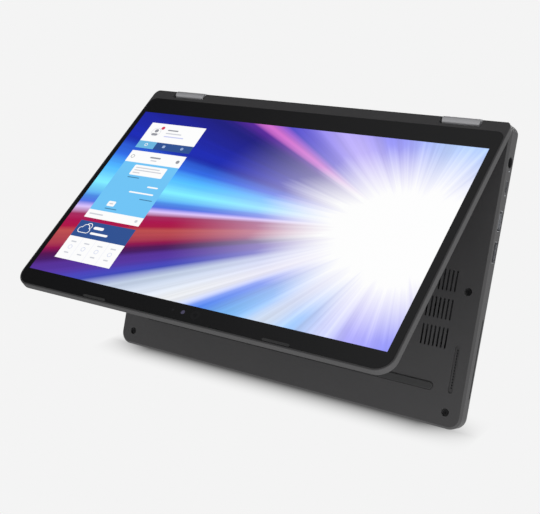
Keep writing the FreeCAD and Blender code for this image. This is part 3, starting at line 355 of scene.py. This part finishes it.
# ---- materials of every node --------------------------------------------------------------
MATERIALS = {
    "body_black": grained("body_black", (0.018, 0.018, 0.020), 0.62, specular=0.35),
    "body_grey": grained("body_grey", (0.056, 0.055, 0.057), 0.48),
    "hinge_silver": brushed("hinge_silver", (0.58, 0.58, 0.60), 0.34, metallic=0.4),
    "screen_glass": screen_material(),
    "screen_panel": grained("screen_panel", (0.02, 0.02, 0.03), 0.3),
    "keys_black": grained("keys_black", (0.020, 0.020, 0.022), 0.55),
    "rubber_black": grained("rubber_black", (0.040, 0.040, 0.041), 0.70, grain=0.0001),
    "steel": brushed("steel", (0.50, 0.51, 0.53), 0.36),
    # Screws: their own black, taken darker still as painted shade for the depth of their holes.
    "screw_black": grained("screw_black", (0.008, 0.008, 0.009), 0.50, specular=0.25),
    "copper": brushed("copper", (0.72, 0.42, 0.28), 0.3),
    "aluminium_raw": brushed("aluminium_raw", (0.70, 0.71, 0.73), 0.3),
    "board_green": grained("board_green", (0.02, 0.16, 0.09), 0.35),
    "battery_grey": grained("battery_grey", (0.10, 0.10, 0.11), 0.5),
    "light_lens": grained("light_lens", (0.80, 0.84, 0.90), 0.2),
}
for subpart in frame["record"]["subparts"]:
    node = NODES[subpart["node"]]
    node.data.materials.clear()
    node.data.materials.append(MATERIALS[subpart["material_slot"]])


# ---- stage --------------------------------------------------------------------------------
TABLE_HALF, TABLE_Z = 4, -0.0002
TABLE_GLOW = 0.52
SHADOW_END, SHADOW_END_FADE = 0.166, 0.045
SHADOW_WIDTH, SHADOW_DEPTH = 0.0322, 0.92


def plane(name, corners, material):
    """One quad of the stage."""
    mesh = bpy.data.meshes.new(name)
    mesh.from_pydata([tuple(c) for c in corners], [], [tuple(range(len(corners)))])
    made = bpy.data.objects.new(name, mesh)
    bpy.context.scene.collection.objects.link(made)
    mesh.materials.append(material)
    return made


def only_from_front(g, shader):
    """The shader on the front side and nothing at all on the back."""
    choose = g.node("ShaderNodeMixShader")
    g.put(choose.inputs[0], g.node("ShaderNodeNewGeometry").outputs["Backfacing"])
    g.put(choose.inputs[1], shader)
    g.put(choose.inputs[2], g.node("ShaderNodeBsdfTransparent").outputs[0])
    return choose.outputs[0]


def seen_by_camera_only(made):
    """Keeps a stage surface from shading or lighting the object."""
    made.visible_diffuse = False
    made.visible_glossy = False
    made.visible_transmission = False
    made.visible_shadow = False


def table_material():
    """Pale table top that is seen from above only."""
    g = material_graph("table_top")
    pale = g.principled(Base_Color=(0.80, 0.80, 0.80, 1), Roughness=0.9, Specular_IOR_Level=0.0,
                        Emission_Color=(1, 1, 1, 1), Emission_Strength=TABLE_GLOW)
    return g.finish(only_from_front(g, pale))


def contact_shadow(touch, near):
    """A soft shadow on clear ground: darkest along the line that the part stands on."""
    g = material_graph("contact_shadow")
    from_touch = g.vector("SUBTRACT", g.place(), tuple(touch))
    distance = g.math("ABSOLUTE", g.vector("DOT_PRODUCT", from_touch, tuple(near)))
    split = g.node("ShaderNodeSeparateXYZ")
    g.put(split.inputs[0], from_touch)
    sideways = g.math("ABSOLUTE", split.outputs[0])
    to_end = g.math("SUBTRACT", SHADOW_END, sideways)
    ends = g.math("DIVIDE", to_end, SHADOW_END_FADE, clamp=True)
    ends = g.math("SMOOTH_MIN", ends, 1.0, 0.3)
    nearness = g.math("SUBTRACT", 1.0, g.math("DIVIDE", distance, SHADOW_WIDTH), clamp=True)
    depth = g.math("MULTIPLY", g.math("POWER", nearness, 2.0), SHADOW_DEPTH)
    shade = g.node("ShaderNodeEmission")
    shade.inputs["Color"].default_value = (0.02, 0.02, 0.02, 1)
    choose = g.node("ShaderNodeMixShader")
    g.put(choose.inputs[0], g.math("MULTIPLY", depth, ends))
    g.put(choose.inputs[1], g.node("ShaderNodeBsdfTransparent").outputs[0])
    g.put(choose.inputs[2], shade.outputs[0])
    return g.finish(only_from_front(g, choose.outputs[0]))


table = plane("table_top",
              [(sx * TABLE_HALF, sy * TABLE_HALF, TABLE_Z)
               for sx, sy in ((-1, -1), (1, -1), (1, 1), (-1, 1))], table_material())
seen_by_camera_only(table)

CAMERA_TURN = Euler([math.radians(a) for a in (104.4466, -19.2981, 29.0111)])
CAMERA_AT = Vector((0.39963, -0.59171, -0.09587))
VIEW_UP = Vector((0, -0.58543, 0.81073))
lowest = min(NODES["bottom_cover"].data.vertices, key=lambda v: v.co @ VIEW_UP).co.copy()
touch = Vector((0, lowest.y, lowest.z)) - 0.0003 * VIEW_UP
up_slope = VIEW_UP.cross(Vector((1, 0, 0)))
REACH = 0.35
ground = plane("tipped_ground",
               [touch + Vector((sx * REACH, 0, 0)) + sy * REACH * up_slope
                for sx, sy in ((-1, -1), (-1, 1), (1, 1), (1, -1))],
               contact_shadow(touch, -up_slope))
if ground.data.polygons[0].normal @ VIEW_UP < 0:
    ground.data.flip_normals()
seen_by_camera_only(ground)


# ---- light and camera ---------------------------------------------------------------------
scene = bpy.context.scene
scene.view_settings.view_transform = "Standard"

LIGHT_LEAN = (0.54, 0.0, -0.46)                # the world is brighter towards +X and downwards
LIGHT_LEVEL, LIGHT_LEAST = 0.60, 0.02
SOFT_BOX_TOWARD = (-0.252, -0.604, 0.755)
SOFT_BOX_EDGE, SOFT_BOX_LEVEL = 0.90, 0.50     # the cosine at its edge, and its strength


def studio_world():
    """Even white behind the object, which is lit from below, from +X and by one soft box."""
    g = Graph(bpy.data.worlds.new("studio"))
    direction = g.node("ShaderNodeTexCoord").outputs["Generated"]
    lean = g.vector("DOT_PRODUCT", direction, LIGHT_LEAN)
    level = g.math("MAXIMUM", g.math("ADD", lean, LIGHT_LEVEL), LIGHT_LEAST)
    box = g.node("ShaderNodeMapRange", interpolation_type="SMOOTHSTEP")
    g.put(box.inputs["Value"], g.vector("DOT_PRODUCT", direction, SOFT_BOX_TOWARD))
    g.put(box.inputs["From Min"], SOFT_BOX_EDGE)
    g.put(box.inputs["From Max"], 1.0)
    g.put(box.inputs["To Max"], SOFT_BOX_LEVEL)
    choose = g.node("ShaderNodeMix")
    g.put(choose.inputs[0], g.node("ShaderNodeLightPath").outputs["Is Camera Ray"])
    g.put(choose.inputs[2], g.math("ADD", level, box.outputs["Result"]))
    g.put(choose.inputs[3], WHITE_LEVEL)
    background = g.node("ShaderNodeBackground")
    g.put(background.inputs["Strength"], choose.outputs[0])
    g.put(background.inputs["Color"], (1, 1, 1, 1))
    return g.finish(background.outputs[0], "ShaderNodeOutputWorld")


scene.world = studio_world()


def area_light(name, place, aim, size, power):
    """A square lamp that the camera doesn't see."""
    data = bpy.data.lights.new(name, "AREA")
    data.size = size
    data.energy = power
    lamp = bpy.data.objects.new(name, data)
    scene.collection.objects.link(lamp)
    lamp.location = place
    lamp.rotation_euler = (Vector(aim) - Vector(place)).to_track_quat("-Z", "Y").to_euler()
    lamp.visible_camera = False


area_light("keyboard_side_light", (-0.5, 1.3, 1.0), (0, 0.05, 0.1), 1.2, 14)

camera = bpy.data.objects.new("camera", bpy.data.cameras.new("camera"))
scene.collection.objects.link(camera)
camera.data.lens = 68.187
camera.data.sensor_width = 36
camera.data.clip_start = 0.01
camera.location = CAMERA_AT
camera.rotation_euler = CAMERA_TURN
scene.camera = camera
